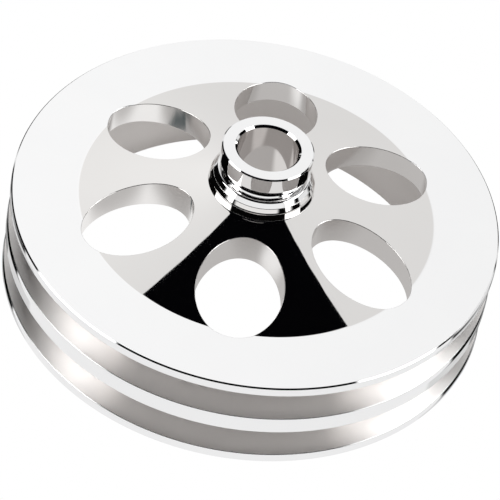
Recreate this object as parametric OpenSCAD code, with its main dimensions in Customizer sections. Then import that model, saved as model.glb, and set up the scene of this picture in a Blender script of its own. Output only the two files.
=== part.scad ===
// Double-groove V-belt pulley with a press-on hub.
// The axis is Z. Z = 0 is the rear face of the rim, and the hub's nose points up.

/* [Rim] */
// Outside diameter of the rim
rim_d = 152.4; // [148:0.1:160]
// Width of the front land, between the front face and the first groove
front_land = 3; // [2.5:0.05:4]
// Width of the land between the two grooves
mid_land = 5.45; // [4:0.05:8]
// Width of the rear land
rear_land = 2.9; // [2.5:0.05:4]
// Width of each belt groove at the outside diameter
groove_w = 10.7; // [9.7:0.1:12]
// Depth of each belt groove
groove_depth = 11; // [9:0.1:11.5]
// Included angle of each belt groove, in degrees
groove_angle = 36; // [34:1:40]
// Chamfer on the outer edges of the rim
rim_c = 0.4; // [0.2:0.1:0.8]
// Inside diameter of the dish behind the web
dish_d = 124; // [120:0.5:125]
// Chamfer on the rear inner edge of the dish
dish_c = 0.9; // [0.4:0.1:1.2]

/* [Web] */
// Diameter at which the flat front face meets the web
face_d = 111; // [108:0.5:118]
// Rise of the web's front towards the hub, in degrees
web_rise = 13.5; // [10:0.5:15]
// Rise of the web's back towards the hub, in degrees
back_rise = 10.5; // [9.5:0.5:12]
// Thickness of the web, along the axis, at the front face's inner edge
web_t = 7.6; // [6:0.1:8]
// Fillet between the web's back and the dish wall
dish_fillet = 4; // [2:0.5:5]

/* [Lightening holes] */
// Number of lightening holes
hole_n = 6; // [3:1:6]
// Length of each hole, along the radius
hole_len = 34.4; // [28:0.1:36]
// Width of each hole, across the radius
hole_w = 26.6; // [20:0.1:28]
// Radius of the circle through the holes' centres
hole_r = 40.1; // [39.5:0.1:42]

/* [Boss] */
// Diameter of the boss at its foot
boss_d = 32.9; // [32:0.1:34]
// Diameter of the boss's shoulder, where its side meets its sloping front
shoulder_d = 32.5; // [32:0.1:33.5]
// Height of the boss's shoulder above the rim's front face
shoulder_z = 11.9; // [11.5:0.1:12.2]
// Radius that rounds the boss's shoulder
shoulder_edge = 1.8; // [0.4:0.1:2]
// Diameter of the boss's front seat, and of the hub's flange
seat_d = 30.8; // [30.4:0.1:31.2]
// Height of the boss's front seat above the rim's front face
seat_z = 13.35; // [13.2:0.05:13.6]
// Fillet between the boss and the web's front
boss_fillet = 0.1; // [0.1:0.1:1]
// Depth of the boss's rear end below the rim's front face
boss_back = 2.2; // [2:0.1:4]
// Fillet between the boss and the web's back
back_fillet = 0.8; // [0.3:0.1:1]
// Diameter of the hub's shank, pressed into the boss
shank_d = 28; // [26:0.1:29]

/* [Hub] */
// Diameter of the shaft bore
bore_d = 19.05; // [18:0.05:20]
// Chamfer at each end of the shaft bore
bore_c = 0.7; // [0.3:0.1:1]
// Height of the nose above the rim's front face
nose_z = 24.4; // [23:0.1:27]
// Diameter of the collar in front of the puller groove
collar_d = 28.4; // [27.5:0.1:30]
// Length of the collar
collar_h = 5.9; // [4:0.1:6.5]
// Diameter at the bottom of the puller groove
neck_d = 24.5; // [24:0.1:25]
// Thickness of the flange behind the puller groove
flange_t = 1.85; // [1.6:0.05:2]
// Diameter of the flange's flat front
flange_top_d = 28.5; // [28.2:0.1:29.2]
// Radius that rounds the flange's front edge
flange_edge = 0.9; // [0.2:0.1:0.9]
// Fillet in the puller groove under the collar
collar_fillet = 1.3; // [0.3:0.1:1.5]
// Width of the chamfer at the foot of the puller groove
foot_w = 0.3; // [0.2:0.05:0.4]
// Height of the chamfer at the foot of the puller groove
foot_h = 0.5; // [0.3:0.05:0.6]
// Chamfer on the collar's front edge
collar_c = 0.4; // [0.2:0.1:0.6]
// Chamfer on the shank's rear edge
shank_c = 0.3; // [0.2:0.1:0.5]

/* [Hidden] */

rim_r = rim_d / 2;
rim_w = front_land + mid_land + rear_land + 2 * groove_w;
dish_r = dish_d / 2;
face_r = face_d / 2;
boss_r = boss_d / 2;
shoulder_r = shoulder_d / 2;
seat_r = seat_d / 2;
flange_top_r = flange_top_d / 2;
shank_r = shank_d / 2;
bore_r = bore_d / 2;
collar_r = collar_d / 2;
neck_r = neck_d / 2;
back_z = -boss_back;
flange_z = seat_z + flange_t;
collar_z = nose_z - collar_h;

// How much narrower a groove is, on each side, at its root
groove_run = groove_depth * tan(groove_angle / 2);
// Radius at the root of the grooves
root_r = rim_r - groove_depth;
// Steps that a fillet takes in its arc
arc_steps = 16;
// Segments in a full turn
turn_fn = 180;
// How far a cutting tool runs past the metal
past = 1;

// Profile points are [radius, height above the rim's front face].
// Points of an arc about c, radius r, from angle a to angle b
function arc(c, r, a, b) = [for (i = [0:arc_steps]) let (t = a + (b - a) * i / arc_steps)
    [c[0] + r * cos(t), c[1] + r * sin(t)]];

// Height of the web's front and back surfaces at radius r
function front_h(r) = (face_r - r) * tan(web_rise);
function back_h(r) = -web_t + (face_r - r) * tan(back_rise);

// A sloping line h(r), falling outwards at angle w, offset by d along its normal:
// its height where it crosses radius r
function offset_h(h, d, w) = h + d / cos(w);

// One belt groove, walking from its front edge at height h to its rear edge
function groove(h) = [
    [rim_r, h],
    [root_r, h - groove_run],
    [root_r, h - groove_w + groove_run],
    [rim_r, h - groove_w]];

// How far the boss's side and its sloping front lean in, from upright
side_lean = atan((boss_r - shoulder_r) / (shoulder_z - front_h(boss_r)));
front_lean = atan((shoulder_r - seat_r) / (seat_z - shoulder_z));
// How far the flange's side leans in
flange_lean = atan((seat_r - flange_top_r) / flange_t);

// Centre of an arc of radius r that touches two lines which cross at p, and whose
// outward normals are at angles a and b. A negative r is a rounded outer corner.
function arc_centre(p, a, b, r) =
    p + r * [cos(a) + cos(b), sin(a) + sin(b)] / (1 + cos(a - b));

// Centres of the fillets and of the rounded shoulder and flange edge
boss_f = arc_centre([boss_r, front_h(boss_r)], side_lean, 90 - web_rise, boss_fillet);
shoulder_f = arc_centre([shoulder_r, shoulder_z], side_lean, front_lean, -shoulder_edge);
flange_f = arc_centre([flange_top_r, flange_z], flange_lean, 90, -flange_edge);
back_f = [boss_r + back_fillet,
    offset_h(back_h(boss_r + back_fillet), -back_fillet, back_rise)];
dish_f = [dish_r - dish_fillet,
    offset_h(back_h(dish_r - dish_fillet), -dish_fillet, back_rise)];

body_profile = concat(
    [[shank_r, seat_z], [shank_r, back_z], [boss_r, back_z]],
    arc(back_f, back_fillet, 180, 90 - back_rise),
    arc(dish_f, dish_fillet, 90 - back_rise, 0),
    [[dish_r, dish_c - rim_w], [dish_r + dish_c, -rim_w]],
    [[rim_r - rim_c, -rim_w], [rim_r, rim_c - rim_w]],
    [for (i = [3:-1:0]) groove(rear_land + groove_w - rim_w)[i]],
    [for (i = [3:-1:0]) groove(-front_land)[i]],
    [[rim_r, -rim_c], [rim_r - rim_c, 0], [face_r, 0]],
    arc(boss_f, boss_fillet, 270 - web_rise, 180 + side_lean),
    arc(shoulder_f, shoulder_edge, side_lean, front_lean),
    [[seat_r, seat_z]]);

hub_profile = concat(
    [[bore_r, back_z + bore_c], [bore_r + bore_c, back_z]],
    [[shank_r - shank_c, back_z], [shank_r, back_z + shank_c]],
    [[shank_r, seat_z], [seat_r, seat_z]],
    arc(flange_f, flange_edge, flange_lean, 90),
    [[neck_r + foot_w, flange_z], [neck_r, flange_z + foot_h]],
    arc([neck_r + collar_fillet, collar_z - collar_fillet], collar_fillet, 180, 90),
    [[collar_r, collar_z], [collar_r, nose_z - collar_c], [collar_r - collar_c, nose_z]],
    [[bore_r + bore_c, nose_z], [bore_r, nose_z - bore_c]]);

// A solid of revolution, moved so that Z = 0 is the rim's rear face
module turned(profile) {
    translate([0, 0, rim_w])
        rotate_extrude($fn = turn_fn)
            polygon(profile);
}

// One lightening hole, oval, cut straight through along the axis
module lightening_hole() {
    translate([hole_r, 0, 0])
        scale([hole_len / hole_w, 1, 1])
            cylinder(r = hole_w / 2, h = rim_w + seat_z, $fn = turn_fn);
}

// The sheave: rim with two grooves, web with its holes, boss and open dish
module pulley_body() {
    color("gainsboro")
        difference() {
            turned(body_profile);
            for (i = [0:hole_n - 1])
                rotate(i * 360 / hole_n - 90)
                    lightening_hole();
        }
}

// The hub: nose collar, puller groove, flange and shank, bored for the shaft
module hub_insert() {
    color("silver")
        turned(hub_profile);
}

pulley_body();
hub_insert();
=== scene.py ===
import math

import bpy
from mathutils import Matrix, Vector


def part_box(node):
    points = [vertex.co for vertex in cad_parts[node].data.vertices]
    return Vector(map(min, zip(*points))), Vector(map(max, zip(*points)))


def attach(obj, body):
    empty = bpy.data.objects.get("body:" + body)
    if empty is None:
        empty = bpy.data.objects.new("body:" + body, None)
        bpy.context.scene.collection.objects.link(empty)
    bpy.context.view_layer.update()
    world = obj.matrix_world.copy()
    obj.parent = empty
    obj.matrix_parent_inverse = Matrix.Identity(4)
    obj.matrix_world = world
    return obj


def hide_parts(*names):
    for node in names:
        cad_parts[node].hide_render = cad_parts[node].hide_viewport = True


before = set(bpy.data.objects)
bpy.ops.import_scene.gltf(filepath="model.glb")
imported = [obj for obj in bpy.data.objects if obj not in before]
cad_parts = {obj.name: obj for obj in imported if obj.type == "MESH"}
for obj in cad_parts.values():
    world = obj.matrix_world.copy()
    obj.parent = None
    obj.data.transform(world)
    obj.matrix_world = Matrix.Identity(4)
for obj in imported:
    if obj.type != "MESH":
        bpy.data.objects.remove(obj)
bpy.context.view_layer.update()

# ---------------------------------------------------------------- dimensions
# Millimetres. Heights are above the rim's front face, as in the CAD source.
MM = 0.001
BODY_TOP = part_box("pulley_body")[1]
HUB_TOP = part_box("hub_insert")[1]
RIM_R = BODY_TOP.x / MM
NOSE_Z = 24.4
FRONT_Z = HUB_TOP.z / MM - NOSE_Z  # the front face's height above the floor
RIM_W = FRONT_Z

FRONT_LAND = 3.0
REAR_LAND = 2.9
GROOVE_W = 10.7
GROOVE_DEPTH = 11.0
GROOVE_SLOPE = math.tan(math.radians(18))
ROOT_R = RIM_R - GROOVE_DEPTH
RIM_C = 0.4
DISH_R = 62.0
DISH_C = 0.9
DISH_FILLET = 4.0

FACE_R = 55.5
WEB_RISE = math.tan(math.radians(13.5))
BACK_RISE = math.tan(math.radians(10.5))
WEB_T = 7.6

HOLE_N = 6
HOLE_LEN = 34.4
HOLE_W = 26.6
HOLE_R = 40.1
HOLE_EDGE = 0.2  # radius worn by polishing on the holes' edges
HOLE_FLARE = 1.1  # how far the cutter's ends reach past that radius, as a multiple of it
HOLE_FLARE_UP = 0.14  # how far the flare starts outside the metal, likewise
HOLE_CLEAR = 2  # how far the cutter runs above the boss's front
HOLE_STEPS = 120
HOLE_SLACK = 0.5
HOLE_IN = HOLE_R - HOLE_LEN / 2 - HOLE_SLACK
HOLE_OUT = HOLE_R + HOLE_LEN / 2 + HOLE_SLACK

BOSS_R = 16.45
SHOULDER_R = 16.25
SHOULDER_Z = 11.9
SHOULDER_EDGE = 1.8
SEAT_R = 15.4
SEAT_Z = 13.35
BOSS_FILLET = 0.1
BOSS_BACK = -2.2
BACK_FILLET = 0.8
BACK_EDGE = 0.2  # edge radius at the boss's rear end
SHANK_R = 14.0

BORE_R = 9.525
BORE_C = 0.7
COLLAR_R = 14.2
COLLAR_Z = 18.5
COLLAR_C = 0.4
COLLAR_FILLET = 1.3
NECK_R = 12.25
FLANGE_Z = 15.2
FLANGE_TOP_R = 14.25
FLANGE_EDGE = 0.9
SHANK_C = 0.3
FOOT_W = 0.3  # chamfer at the foot of the puller groove
FOOT_H = 0.5

LIP = 0.25  # edge radius left by polishing on the groove lips
ROOT_FILLET = 0.6  # radius at the grooves' roots
CROWN = 3.9  # radius of the crown that polishing leaves on each land's front edge
CROWN_DROP = 0.34  # how far the crowned edge stands in from the rim's outside
CROWN_REACH = 1.6  # how far the crown reaches across the land
FACE_CROWN_DROP = 0.17  # the same two for the front land, which ends in a chamfer
FACE_CROWN_REACH = 1.75
FACE_C_IN = 0.55  # how far the front face's edge stands in from the rim's outside
COLLAR_EDGE = 0.15  # edge radius under the collar
COLLAR_CROWN = 4.0  # radius of the crown that polishing leaves above that edge
COLLAR_CROWN_DROP = 0.08
COLLAR_CROWN_REACH = 0.5
CRISP = 0.08  # edge radius on the turned chamfers
VALLEY = 3.0  # radius where the flat face meets the web
TURN_STEPS = 240
ARC_STEPS = 9  # steps for each radian of a rounded corner

# Which faces of the sheave are left as turned: the radii that the grooves' walls lie
# between, slack on the dish's wall and on the web's back, and the height below which only
# the dish is inside that wall
GROOVE_IN = DISH_R + 2
GROOVE_OUT = RIM_R - 1
DISH_SLACK = 0.2
BACK_SLACK = 0.5
DEEP = -10
UPRIGHT = 0.2  # the most that an upright face's normal rises


# ------------------------------------------------------------- mesh building
def front_h(r):
    """Height of the web's front surface, and of the flat face outside it."""
    return max(0.0, (FACE_R - r) * WEB_RISE)


def back_h(r):
    """Height of the web's back surface."""
    return (FACE_R - r) * BACK_RISE - WEB_T


def turned_by(v, angle):
    """A 2-D vector turned by an angle."""
    c, s = math.cos(angle), math.sin(angle)
    return Vector((v[0] * c - v[1] * s, v[0] * s + v[1] * c))


def rounded(corners):
    """A closed outline in (radius, height), metal on its left, from corners (r, z, radius).
    Returns spans ((point, normal), (point, normal)) with the true normal at each end."""
    spans = []
    ends = []
    count = len(corners)
    for i in range(count):
        before = Vector(corners[i - 1][:2])
        here = Vector(corners[i][:2])
        after = Vector(corners[(i + 1) % count][:2])
        u = (here - before).normalized()
        v = (after - here).normalized()
        turn = math.atan2(u.x * v.y - u.y * v.x, u.dot(v))
        radius = corners[i][2]
        run = radius * math.tan(abs(turn) / 2)
        normal = Vector((u.y, -u.x))
        start = here - u * run
        side = 1 if turn > 0 else -1
        centre = start - normal * radius * side
        steps = 0 if radius == 0 else max(3, math.ceil(abs(turn) * ARC_STEPS))
        arc = [(start, normal)]
        for k in range(1, steps + 1):
            n = turned_by(normal, turn * k / steps)
            arc.append((centre + n * radius * side, n))
        if steps == 0:
            arc = [(here, normal), (here, turned_by(normal, turn))]
        ends.append(arc)
    for i in range(count):
        arc = ends[i]
        for first, second in zip(arc, arc[1:]):
            if first[0] != second[0]:
                spans.append((first, second))
        spans.append((arc[-1], ends[(i + 1) % count][0]))
    return spans


def add_object(name, data):
    """A new object in the scene."""
    piece = bpy.data.objects.new(name, data)
    bpy.context.scene.collection.objects.link(piece)
    return piece


def lathe(name, spans, steps):
    """A solid of revolution about Z, with the outline's own normals at its corners."""
    rings = len(spans)
    verts = []
    for (p, _), _ in spans:
        for j in range(steps):
            a = 2 * math.pi * j / steps
            verts.append((p.x * math.cos(a) * MM, p.x * math.sin(a) * MM, (p.y + FRONT_Z) * MM))
    faces = []
    normals = []
    for i, ((_, n0), (_, n1)) in enumerate(spans):
        k = (i + 1) % rings
        for j in range(steps):
            m = (j + 1) % steps
            faces.append((i * steps + j, i * steps + m, k * steps + m, k * steps + j))
            for n, step in ((n0, j), (n0, j + 1), (n1, j + 1), (n1, j)):
                a = 2 * math.pi * step / steps
                normals.append((n.x * math.cos(a), n.x * math.sin(a), n.y))
    return mesh_object(name, verts, faces, normals)


def mesh_object(name, verts, faces, normals):
    """A mesh that keeps its true corner normals in an attribute."""
    mesh = bpy.data.meshes.new(name)
    mesh.from_pydata(verts, [], faces)
    attribute = mesh.attributes.new("true_normal", "FLOAT_VECTOR", "CORNER")
    attribute.data.foreach_set("vector", [x for n in normals for x in n])
    mesh.update()
    return add_object(name, mesh)


def use_true_normals(piece):
    """Shades the piece by its true normals, so that mirror finishes show no facets."""
    mesh = piece.data
    attribute = mesh.attributes["true_normal"]
    normals = [Vector(c.vector).normalized() for c in attribute.data]
    for polygon in mesh.polygons:
        polygon.use_smooth = True
    mesh.normals_split_custom_set(normals)
    mesh.attributes.remove(mesh.attributes["true_normal"])


def hole_rows():
    """The hole cutter's rows from the top down: outward offset, base surface, height above it,
    and how far the wall's normal has turned towards up (+) or down (-), in degrees."""
    e = HOLE_EDGE
    flare = HOLE_FLARE * e
    flare_up = HOLE_FLARE_UP * e
    rows = [(flare, None, SEAT_Z + HOLE_CLEAR, 90), (flare, front_h, flare_up, 90)]
    for angle in (60, 30, 0):
        a = math.radians(angle)
        rows.append((e - e * math.cos(a), front_h, e * math.sin(a) - e, angle))
    for angle in (0, -30, -60):
        a = math.radians(angle)
        rows.append((e - e * math.cos(a), back_h, e * math.sin(a) + e, angle))
    rows += [(flare, back_h, -flare_up, -90), (flare, None, -RIM_W, -90)]
    return rows


def hole_cutter(angle):
    """One oval cutter that leaves rounded edges on the web's front and back."""
    spin = Matrix.Rotation(angle, 3, "Z")
    rows = hole_rows()
    verts = []
    walls = []
    for offset, base, height, _ in rows:
        for j in range(HOLE_STEPS):
            t = 2 * math.pi * j / HOLE_STEPS
            out = Vector((math.cos(t) / HOLE_LEN, math.sin(t) / HOLE_W)).normalized()
            x = HOLE_R + HOLE_LEN / 2 * math.cos(t) + out.x * offset
            y = HOLE_W / 2 * math.sin(t) + out.y * offset
            z = height + (base(math.hypot(x, y)) if base else 0)
            verts.append(spin @ Vector((x, y, z + FRONT_Z)) * MM)
            walls.append(spin @ Vector((-out.x, -out.y, 0)))
    faces = []
    normals = []

    def corner(row, j):
        tilt = math.radians(rows[row][3])
        wall = walls[j % HOLE_STEPS]
        normals.append(wall * math.cos(tilt) + Vector((0, 0, math.sin(tilt))))
        return row * HOLE_STEPS + j % HOLE_STEPS

    for row in range(len(rows) - 1):
        for j in range(HOLE_STEPS):
            below = row + 1
            faces.append([corner(row, j), corner(below, j), corner(below, j + 1), corner(row, j + 1)])
    faces.append([corner(0, j) for j in range(HOLE_STEPS)])
    faces.append([corner(len(rows) - 1, j) for j in reversed(range(HOLE_STEPS))])
    return verts, faces, normals


def cut_holes(piece):
    """Cuts the lightening holes out of the web."""
    verts, faces, normals = [], [], []
    for i in range(HOLE_N):
        v, f, n = hole_cutter(math.radians(i * 360 / HOLE_N - 90))
        faces += [[k + len(verts) for k in face] for face in f]
        verts += v
        normals += n
    cutter = mesh_object("hole_cutter", verts, faces, normals)
    cut = piece.modifiers.new("holes", "BOOLEAN")
    cut.operation = "DIFFERENCE"
    cut.solver = "EXACT"
    cut.object = cutter
    graph = bpy.context.evaluated_depsgraph_get()
    mesh = bpy.data.meshes.new_from_object(piece.evaluated_get(graph))
    piece.modifiers.clear()
    piece.data = mesh
    bpy.data.objects.remove(cutter)


def groove(z):
    """The corners of one belt groove whose upper lip is at height z, from the bottom up."""
    run = GROOVE_DEPTH * GROOVE_SLOPE
    return [
        (RIM_R, z - GROOVE_W - CROWN_REACH + CROWN_DROP * GROOVE_SLOPE, CROWN),
        (RIM_R - CROWN_DROP, z - GROOVE_W + CROWN_DROP * GROOVE_SLOPE, LIP),
        (ROOT_R, z - GROOVE_W + run, ROOT_FILLET),
        (ROOT_R, z - run, ROOT_FILLET),
        (RIM_R, z, LIP)]


def build_sheave():
    """Rim with its two grooves, web with six holes, boss and open dish."""
    corners = [
        (SHANK_R, SEAT_Z, 0), (SHANK_R, BOSS_BACK, 0), (BOSS_R, BOSS_BACK, BACK_EDGE),
        (BOSS_R, back_h(BOSS_R), BACK_FILLET), (DISH_R, back_h(DISH_R), DISH_FILLET),
        (DISH_R, DISH_C - RIM_W, CRISP), (DISH_R + DISH_C, -RIM_W, CRISP),
        (RIM_R - RIM_C, -RIM_W, CRISP), (RIM_R, RIM_C - RIM_W, CRISP),
        *groove(REAR_LAND + GROOVE_W - RIM_W), *groove(-FRONT_LAND),
        (RIM_R, -FACE_CROWN_REACH, CROWN), (RIM_R - FACE_CROWN_DROP, -RIM_C, CRISP),
        (RIM_R - FACE_C_IN, 0, CRISP), (FACE_R, 0, VALLEY),
        (BOSS_R, front_h(BOSS_R), BOSS_FILLET), (SHOULDER_R, SHOULDER_Z, SHOULDER_EDGE),
        (SEAT_R, SEAT_Z, CRISP)]
    piece = lathe("sheave", rounded(corners), TURN_STEPS)
    cut_holes(piece)
    use_true_normals(piece)
    piece.data.materials.clear()
    piece.data.materials.append(polished_aluminium())
    piece.data.materials.append(turned_aluminium())
    piece.data.materials.append(milled_aluminium())
    for polygon in piece.data.polygons:
        r = math.hypot(*polygon.center[:2]) / MM
        z = polygon.center.z / MM - FRONT_Z
        in_groove = GROOVE_IN < r < GROOVE_OUT and z < -FRONT_LAND
        in_dish = r < DISH_R + DISH_SLACK and (z < back_h(r) + BACK_SLACK or z < DEEP)
        in_hole = abs(polygon.normal.z) < UPRIGHT and HOLE_IN < r < HOLE_OUT
        polygon.material_index = 2 if in_hole else 1 if in_groove or in_dish else 0
    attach(piece, "root")
    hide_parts("pulley_body")


def build_hub():
    """Nose collar, puller groove, flange and shank around the shaft bore."""
    corners = [
        (BORE_R + BORE_C, NOSE_Z, CRISP), (BORE_R, NOSE_Z - BORE_C, CRISP),
        (BORE_R, BOSS_BACK + BORE_C, CRISP),
        (BORE_R + BORE_C, BOSS_BACK, CRISP), (SHANK_R - SHANK_C, BOSS_BACK, CRISP),
        (SHANK_R, BOSS_BACK + SHANK_C, CRISP), (SHANK_R, SEAT_Z, 0),
        (SEAT_R, SEAT_Z, CRISP), (FLANGE_TOP_R, FLANGE_Z, FLANGE_EDGE),
        (NECK_R + FOOT_W, FLANGE_Z, CRISP), (NECK_R, FLANGE_Z + FOOT_H, CRISP),
        (NECK_R, COLLAR_Z, COLLAR_FILLET), (COLLAR_R - COLLAR_CROWN_DROP, COLLAR_Z, COLLAR_EDGE),
        (COLLAR_R, COLLAR_Z + COLLAR_CROWN_REACH, COLLAR_CROWN),
        (COLLAR_R, NOSE_Z - COLLAR_C, CRISP),
        (COLLAR_R - COLLAR_C, NOSE_Z, CRISP)]
    piece = lathe("hub", rounded(corners), TURN_STEPS)
    use_true_normals(piece)
    piece.data.materials.append(bright_steel())
    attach(piece, "root")
    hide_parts("hub_insert")


# ----------------------------------------------------------------- materials
class Graph:
    """Writes a node tree as nested calls. Every call returns an output socket."""

    def __init__(self, tree):
        self.tree = tree
        tree.nodes.clear()

    def feed(self, socket, value):
        if isinstance(value, bpy.types.NodeSocket):
            self.tree.links.new(value, socket)
        else:
            socket.default_value = value

    def node(self, kind, inputs=(), **settings):
        node = self.tree.nodes.new(kind)
        for key, value in settings.items():
            setattr(node, key, value)
        for key, value in dict(inputs).items():
            self.feed(node.inputs[key], value)
        return node

    def math(self, operation, *values):
        node = self.tree.nodes.new("ShaderNodeMath")
        node.operation = operation
        for socket, value in zip(node.inputs, values):
            self.feed(socket, value)
        return node.outputs[0]

    def total(self, *values):
        result = values[0]
        for value in values[1:]:
            result = self.math("ADD", result, value)
        return result

    def product(self, *values):
        result = values[0]
        for value in values[1:]:
            result = self.math("MULTIPLY", result, value)
        return result

    def step(self, value, low, high, start=0.0, end=1.0):
        """start below low, end above high, and smooth between them."""
        node = self.tree.nodes.new("ShaderNodeMapRange")
        node.interpolation_type = "SMOOTHSTEP"
        ends = {"Value": value, "From Min": low, "From Max": high, "To Min": start, "To Max": end}
        for key, x in ends.items():
            self.feed(node.inputs[key], x)
        return node.outputs[0]

    def blend(self, share, a, b):
        """Colour a where share is 0 and b where it is 1."""
        node = self.tree.nodes.new("ShaderNodeMix")
        node.data_type = "RGBA"
        self.feed(node.inputs["Factor"], share)
        self.feed(node.inputs[6], a)
        self.feed(node.inputs[7], b)
        return node.outputs[2]

    def noise(self, vector, scale, detail=2.0):
        node = self.node("ShaderNodeTexNoise", {"Vector": vector, "Scale": scale, "Detail": detail})
        return node.outputs["Fac"]


def new_material(name):
    """A material, and the graph that fills its empty node tree."""
    material = bpy.data.materials.new(name)
    material.use_nodes = True
    return material, Graph(material.node_tree)


def from_axis(g, x, y):
    """Distance from the Z axis."""
    return g.math("SQRT", g.total(g.product(x, x), g.product(y, y)))


def turned_coordinates(g):
    """Object coordinates, the radius and the height, in millimetres from the front face."""
    place = g.node("ShaderNodeTexCoord").outputs["Object"]
    parts = g.node("ShaderNodeSeparateXYZ", {"Vector": place}).outputs
    radius = g.product(from_axis(g, parts[0], parts[1]), 1 / MM)
    height = g.math("SUBTRACT", g.product(parts[2], 1 / MM), FRONT_Z)
    return place, radius, height


def turning_marks(g, radius, height, pitch):
    """Fine rings left by turning, uneven in depth, as a value from 0 to 1."""
    path = g.total(radius, g.product(height, 0.83))
    at = g.node("ShaderNodeCombineXYZ", {"X": path}).outputs[0]
    fine = g.noise(at, 1 / pitch, 3.0)
    coarse = g.noise(at, 0.12 / pitch, 1.0)
    return g.total(g.product(fine, 0.6), g.product(coarse, 0.4))


def finish_metal(g, colour, roughness, bump):
    """The metal's shader, wired to the material's output."""
    shader = g.node("ShaderNodeBsdfPrincipled", {
        "Base Color": colour, "Metallic": 1.0, "Roughness": roughness, "Normal": bump})
    out = g.node("ShaderNodeOutputMaterial")
    g.feed(out.inputs["Surface"], shader.outputs[0])
    return shader


def polished_aluminium():
    """Mirror-polished aluminium, with faint turning rings, and painted shade on the web: its front is
    coloured darker and warmer than the flat face.
    """
    material, g = new_material("polished_aluminium")
    place, radius, height = turned_coordinates(g)
    rings = turning_marks(g, radius, height, 0.35)
    haze = g.noise(place, 45.0, 3.0)
    # painted shade: the web's front, inside the flat face, is coloured darker and warmer than the
    # face
    web = g.product(g.step(radius, FACE_R - 0.4, FACE_R + 0.1, 1.0, 0.0), g.step(height, -2.0, -1.0))
    bright = g.blend(haze, (0.905, 0.905, 0.91, 1), (0.935, 0.935, 0.935, 1))
    warm = g.blend(haze, (0.83, 0.815, 0.80, 1), (0.86, 0.845, 0.83, 1))
    colour = g.blend(web, bright, warm)
    roughness = g.total(0.01, g.product(haze, 0.012), g.product(rings, 0.012))
    bump = g.node("ShaderNodeBump", {"Height": rings, "Strength": 0.03, "Distance": 0.00002})
    finish_metal(g, colour, roughness, bump.outputs[0])
    return material


def turned_aluminium():
    """Aluminium left as turned: its fine rings spread a reflection across them, not along them."""
    material, g = new_material("turned_aluminium")
    place, radius, height = turned_coordinates(g)
    rings = turning_marks(g, radius, height, 0.3)
    haze = g.noise(place, 60.0, 3.0)
    rim = g.blend(haze, (0.91, 0.885, 0.87, 1), (0.96, 0.94, 0.925, 1))
    # painted shade: the dish's inner faces, in the hollow under the web, are coloured darker and
    # warmer than the rim
    dish = g.blend(haze, (0.76, 0.735, 0.72, 1), (0.82, 0.795, 0.78, 1))
    colour = g.blend(g.step(radius, DISH_R + 0.5, DISH_R + 1.5), dish, rim)
    roughness = g.total(0.26, g.product(haze, 0.03), g.product(rings, 0.05))
    bump = g.node("ShaderNodeBump", {"Height": rings, "Strength": 0.05, "Distance": 0.00002})
    along = g.node("ShaderNodeTangent", direction_type="RADIAL", axis="Z")
    shader = finish_metal(g, colour, roughness, bump.outputs[0])
    g.feed(shader.inputs["Tangent"], along.outputs[0])
    shader.inputs["Anisotropic"].default_value = 1.0
    shader.inputs["Anisotropic Rotation"].default_value = 0.25
    return material


def milled_aluminium():
    """The sides of the holes, with fine marks along the cutter's path."""
    material, g = new_material("milled_aluminium")
    place, radius, height = turned_coordinates(g)
    across = g.node("ShaderNodeCombineXYZ", {"X": height}).outputs[0]
    marks = g.noise(across, 2.5, 3.0)
    haze = g.noise(place, 70.0, 3.0)
    colour = g.blend(haze, (0.90, 0.89, 0.885, 1), (0.95, 0.945, 0.94, 1))
    roughness = g.total(0.05, g.product(haze, 0.03), g.product(marks, 0.06))
    bump = g.node("ShaderNodeBump", {"Height": marks, "Strength": 0.05, "Distance": 0.00002})
    shader = finish_metal(g, colour, roughness, bump.outputs[0])
    wall = g.node("ShaderNodeNewGeometry").outputs["Normal"]
    path = g.node("ShaderNodeVectorMath", {0: (0, 0, 1), 1: wall}, operation="CROSS_PRODUCT")
    g.feed(shader.inputs["Tangent"], path.outputs[0])
    shader.inputs["Anisotropic"].default_value = 1.0
    shader.inputs["Anisotropic Rotation"].default_value = 0.25
    return material


def bright_steel():
    """Bright turned steel, a little cooler than the sheave."""
    material, g = new_material("bright_steel")
    place, radius, height = turned_coordinates(g)
    rings = turning_marks(g, radius, height, 0.25)
    haze = g.noise(place, 90.0, 3.0)
    outside = g.blend(haze, (0.87, 0.87, 0.875, 1), (0.91, 0.91, 0.91, 1))
    # painted shade: the bore's wall is coloured darker and warmer than the outside, for the shade
    # inside the bore
    inside = g.blend(haze, (0.70, 0.68, 0.67, 1), (0.76, 0.74, 0.73, 1))
    bore = g.step(radius, BORE_R + 0.1, BORE_R + 0.3, 1.0, 0.0)
    colour = g.blend(bore, outside, inside)
    roughness = g.total(0.015, g.product(haze, 0.012), g.product(rings, 0.015), g.product(bore, 0.04))
    bump = g.node("ShaderNodeBump", {"Height": rings, "Strength": 0.03, "Distance": 0.00002})
    finish_metal(g, colour, roughness, bump.outputs[0])
    return material


# --------------------------------------------------------------------- stage
BAND_LEFT = (-0.052, -0.042)  # where the painted pool of light on the floor shade starts, in metres, from none to full
BAND_RIGHT = (-0.027, -0.013)  # where it ends, from full to none
EDGE_FROM = (0.048, 0.060)  # the radii between which a card turns into its edge colour, a painted shadow under the rim


def flat_mesh(name, points, height):
    """One flat face at a height above the floor."""
    mesh = bpy.data.meshes.new(name)
    mesh.from_pydata([(x, y, height) for x, y in points], [], [range(len(points))])
    return mesh


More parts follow.
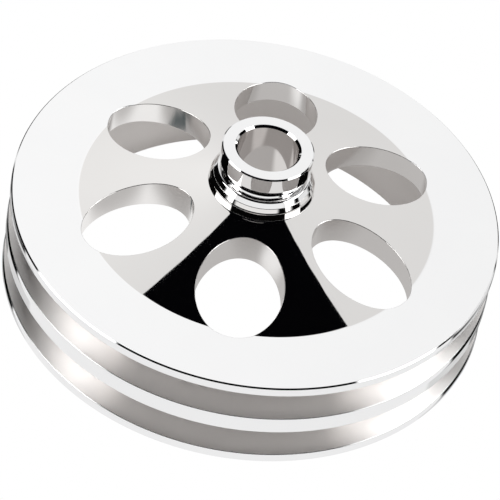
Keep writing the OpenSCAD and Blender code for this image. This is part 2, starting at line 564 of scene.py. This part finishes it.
def card(name, points, height, colour, zones=None):
    """A flat studio card, seen only in reflections. With zones, a pair of colours, only a
    band of it along Y keeps its own colour: the first zone is the rest, the second the edge."""
    mesh = flat_mesh(name, points, height)
    piece = add_object(name, mesh)
    piece.visible_camera = False
    piece.visible_diffuse = False
    piece.visible_shadow = False
    material, g = new_material(name)
    place = g.node("ShaderNodeTexCoord").outputs["Object"]
    x, y, _ = g.node("ShaderNodeSeparateXYZ", {"Vector": place}).outputs
    shade = (*colour, 1)
    # zones paint light and shade on the card: its own colour in the band is a painted pool of light,
    # the rest is painted shade and the edge a darker painted shadow
    if zones:
        rest, edge = zones
        band = g.product(g.step(x, *BAND_LEFT), g.step(x, *BAND_RIGHT, 1.0, 0.0))
        inside = g.blend(band, (*rest, 1), shade)
        shade = g.blend(g.step(from_axis(g, x, y), *EDGE_FROM), inside, (*edge, 1))
    glow = g.node("ShaderNodeEmission", {"Color": shade, "Strength": 1.0})
    out = g.node("ShaderNodeOutputMaterial")
    g.feed(out.inputs["Surface"], glow.outputs[0])
    mesh.materials.append(material)


FLAG_H = 0.6  # height of the flag above the front face, in metres
FLAG_CORNERS = [  # as seen from the front face's centre: (x, y) for each metre up
    (-0.120, 0.410), (0.105, 0.470), (0.257, 0.412), (0.68, 0.248),
    (1.35, -0.95), (-1.15, -1.0), (-0.66, 0.12)]


def build_flag():
    """The dark flag over the object, which the polished web mirrors as a black fan."""
    points = [(x * FLAG_H, y * FLAG_H) for x, y in FLAG_CORNERS]
    card("flag", points, FLAG_H + FRONT_Z * MM, (0.001, 0.001, 0.0015))


LAYER = 0.0002  # gap between flat things that would otherwise share a plane


def build_floor():
    """A plain white floor. The metal mirrors the studio below the horizon instead of it."""
    size = 1.5
    corners = [(-size, -size), (size, -size), (size, size), (-size, size)]
    mesh = flat_mesh("floor", corners, -LAYER)
    floor = add_object("floor", mesh)
    floor.visible_glossy = False
    material, g = new_material("floor")
    seen = g.node("ShaderNodeLightPath").outputs["Is Camera Ray"]
    lit = g.node("ShaderNodeBsdfDiffuse", {"Color": (0.9, 0.89, 0.88, 1)})
    white = g.node("ShaderNodeEmission", {"Color": (1, 1, 1, 1), "Strength": 1.0})
    both = g.node("ShaderNodeMixShader", {0: seen, 1: lit.outputs[0], 2: white.outputs[0]})
    out = g.node("ShaderNodeOutputMaterial")
    g.feed(out.inputs["Surface"], both.outputs[0])
    mesh.materials.append(material)


def build_painted_floor_shade():
    """Painted shade on the floor that the open dish stands over: warm grey, with a painted pool of
    light across it, a darker painted shadow towards the rim, and a painted dark patch in it. All are
    seen only in reflections."""
    radius = 0.075
    steps = 96
    turns = [math.tau * i / steps for i in range(steps)]
    ring = [(radius * math.cos(t), radius * math.sin(t)) for t in turns]
    # painted shade under the dish, and a darker painted shadow towards the rim
    rest = (0.52, 0.505, 0.495)
    edge = (0.42, 0.405, 0.395)
    card("painted_floor_shade", ring, 0.0, (0.9, 0.89, 0.88), (rest, edge))
    # a painted dark patch on the floor shade
    gap = [(-0.0575, 0.0075), (-0.048, 0.0105), (-0.056, 0.020), (-0.063, 0.014)]
    card("painted_dark_patch", gap, LAYER, (0.03, 0.05, 0.055))


# Parts of the studio: left, right, low and high edge, softness, all in degrees, and then
# brightness. ONE_SIDE goes by azimuth, which is 0 behind the object and grows to the
# right. BOTH_SIDES goes by how far a direction turns from there, to either side.
ONE_SIDE = {
    "left_softbox": (-131, -90, 10, 56, 2.0, 3.3),
    "right_softbox": (88, 121, 8, 56, 2.0, 2.8),
    "right_softbox_end": (60, 88, 28, 56, 2.0, 4.0),
    "right_sill": (50, 90, -8, 14, 2.0, 0.85)}
BOTH_SIDES = {
    "strip_in_front": (121, 190, 13, 23, 0.6, 0.93),
    "floor_in_front": (67, 190, -95, -20, 2.0, 0.9),
    "floor_at_sides": (30, 67, -95, -40, 2.0, 0.7),
    "floor_behind": (-10, 30, -95, -30, 2.0, 0.3)}
UNLIT = 0.002


def panel(g, az, el, left, right, low, high, soft):
    """1 inside a soft-edged part of the studio, in degrees of azimuth and elevation."""
    past_left = g.step(az, left - soft, left + soft)
    before_right = g.step(az, right - soft, right + soft, 1.0, 0.0)
    above = g.step(el, low - soft, low + soft)
    under = g.step(el, high - soft, high + soft, 1.0, 0.0)
    return g.product(g.product(past_left, before_right), g.product(above, under))


def softbox_behind(g, x, y, z, turn, el):
    """The large softbox behind. It glows towards its middle, more so on the left."""
    even = 0.82
    glow_at_middle = 0.17
    lean, lean_of_glow = -0.05, -1.5
    to_middle = g.total(g.product(y, 0.72), g.product(z, 0.69))
    glow = g.step(to_middle, 0.86, 1.0, 0.0, glow_at_middle)
    tilt = g.product(x, g.total(lean, g.product(glow, lean_of_glow)))
    return g.product(panel(g, turn, el, -10, 47, -8, 95, 2.0), g.total(even, glow, tilt))


def studio_light(g, x, y, z):
    """Brightness of the studio by direction."""
    az = g.product(g.math("ARCTAN2", x, y), 180 / math.pi)
    turn = g.math("ABSOLUTE", az)
    el = g.product(g.math("ARCSINE", z), 180 / math.pi)
    parts = [softbox_behind(g, x, y, z, turn, el)]
    for angle, panels in ((az, ONE_SIDE), (turn, BOTH_SIDES)):
        for *edges, brightness in panels.values():
            parts.append(g.product(panel(g, angle, el, *edges), brightness))
    return g.total(UNLIT, *parts)


def build_world():
    """The studio round the object, and plain white behind it."""
    world = bpy.data.worlds.new("studio")
    bpy.context.scene.world = world
    world.use_nodes = True
    g = Graph(world.node_tree)
    view = g.node("ShaderNodeTexCoord").outputs["Generated"]
    x, y, z = g.node("ShaderNodeSeparateXYZ", {"Vector": view}).outputs
    light = studio_light(g, x, y, z)
    seen = g.node("ShaderNodeLightPath").outputs["Is Camera Ray"]
    strength = g.total(g.product(light, g.math("SUBTRACT", 1.0, seen)), seen)
    back = g.node("ShaderNodeBackground", {"Color": (1, 1, 1, 1), "Strength": strength})
    out = g.node("ShaderNodeOutputWorld")
    g.feed(out.inputs["Surface"], back.outputs[0])


def build_camera():
    """The camera, from the front and above, rolled a little. It looks at a point near the
    front face's centre."""
    distance = 0.9399
    elevation = math.radians(45.02)
    roll = math.radians(-11.43)
    aim_x, aim_y = -0.00081, 0.01435
    right = Vector((1, 0, 0))
    back = Vector((0, -math.cos(elevation), math.sin(elevation)))
    up = back.cross(right)
    data = bpy.data.cameras.new("camera")
    data.sensor_width = 36.0
    data.lens = 218.92
    data.shift_x = -0.001
    data.shift_y = 0.001
    data.clip_start = 0.01
    camera = add_object("camera", data)
    place = back * distance - right * aim_x - up * aim_y + Vector((0, 0, FRONT_Z * MM))
    x_axis = right * math.cos(roll) - up * math.sin(roll)
    y_axis = right * math.sin(roll) + up * math.cos(roll)
    turn = Matrix((x_axis, y_axis, back)).transposed().to_4x4()
    camera.matrix_world = Matrix.Translation(place) @ turn
    bpy.context.scene.camera = camera


def main():
    build_camera()
    build_world()
    build_floor()
    build_painted_floor_shade()
    build_flag()
    build_sheave()
    build_hub()
    bpy.context.scene.view_settings.view_transform = "Standard"
    bpy.context.view_layer.update()


main()
